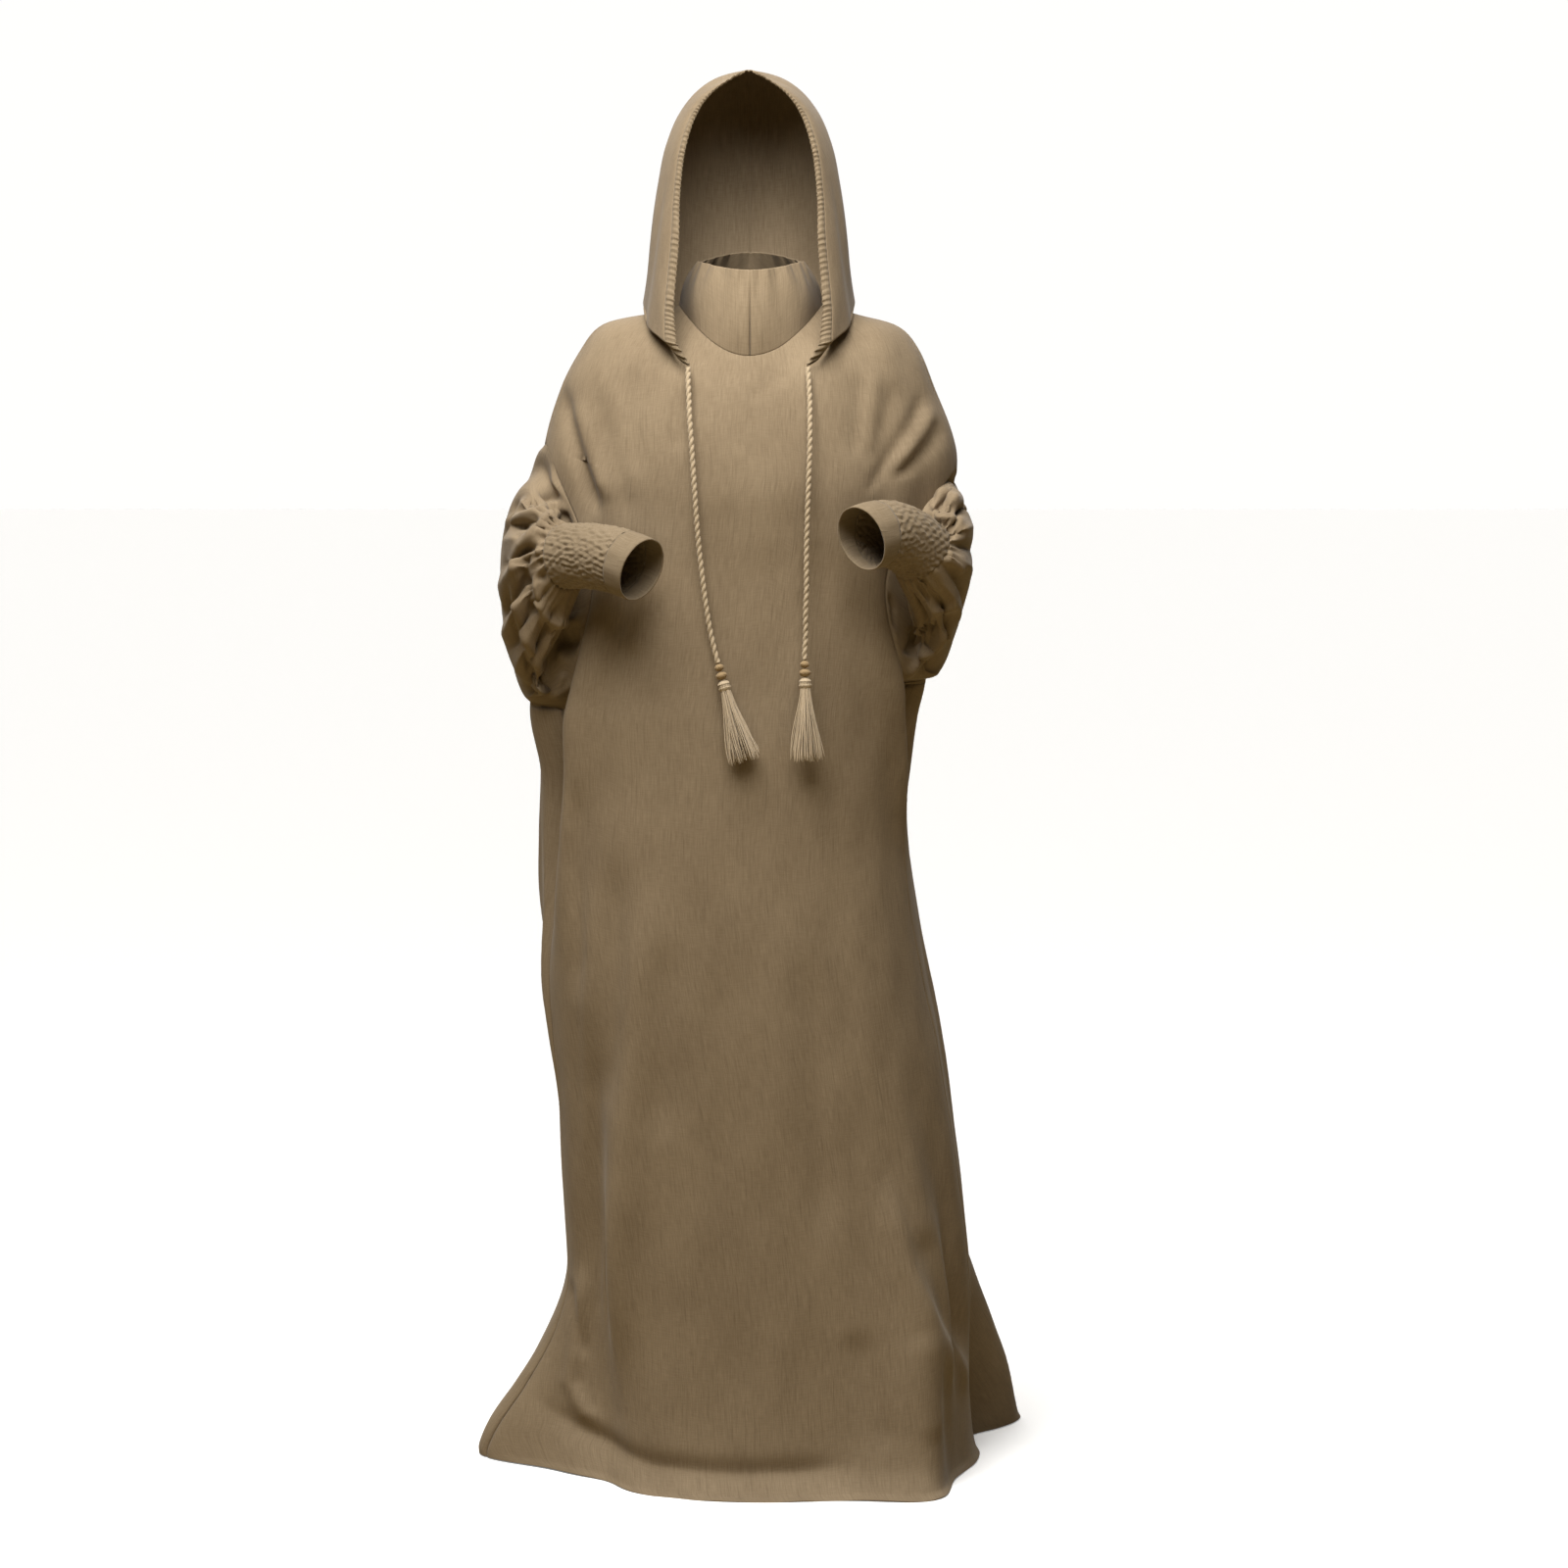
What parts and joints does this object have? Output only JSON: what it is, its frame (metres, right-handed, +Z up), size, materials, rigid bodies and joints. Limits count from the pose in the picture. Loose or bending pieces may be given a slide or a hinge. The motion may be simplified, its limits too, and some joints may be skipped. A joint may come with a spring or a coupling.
{
  "type": "hooded prayer dress",
  "caption": "Long loose hooded dress with high funnel collar, wide sleeves gathered into smocked cuffs, and tasselled drawcords, in the form it takes when worn.",
  "frame": {"origin": "between the shoulders at the foot of the neck, on the middle of the dress, where the wearer's shoulders carry it; the hem's lowest edge is 1.369 m below", "axes": "+Z up along the dress, the front faces -Y, +X to the right as seen from the front"},
  "size_m": [0.6743, 0.5445, 1.6793],
  "materials": {
    "dress_cloth": "matt slubbed linen weave",
    "cuff_cloth": "matt linen weave, gathered",
    "cord_yarn": "soft twisted yarn",
    "bead_yarn": "wound yarn over a core"
  },
  "bodies": {
    "root": {"front_panel": "dress_cloth", "back_panel": "dress_cloth", "sleeve_left": "dress_cloth", "sleeve_right": "dress_cloth", "cuff_left": "cuff_cloth", "cuff_right": "cuff_cloth", "cuff_band_left": "cuff_cloth", "cuff_band_right": "cuff_cloth", "collar_left": "dress_cloth", "collar_right": "dress_cloth", "hood_left": "dress_cloth", "hood_right": "dress_cloth", "hood_casing_left": "cuff_cloth", "hood_casing_right": "cuff_cloth", "drawcord_left": "cord_yarn", "drawcord_right": "cord_yarn", "bead_left_upper": "bead_yarn", "bead_left_lower": "bead_yarn", "bead_right_upper": "bead_yarn", "bead_right_lower": "bead_yarn", "tassel_left": "cord_yarn", "tassel_right": "cord_yarn"}
  },
  "joints": []
}
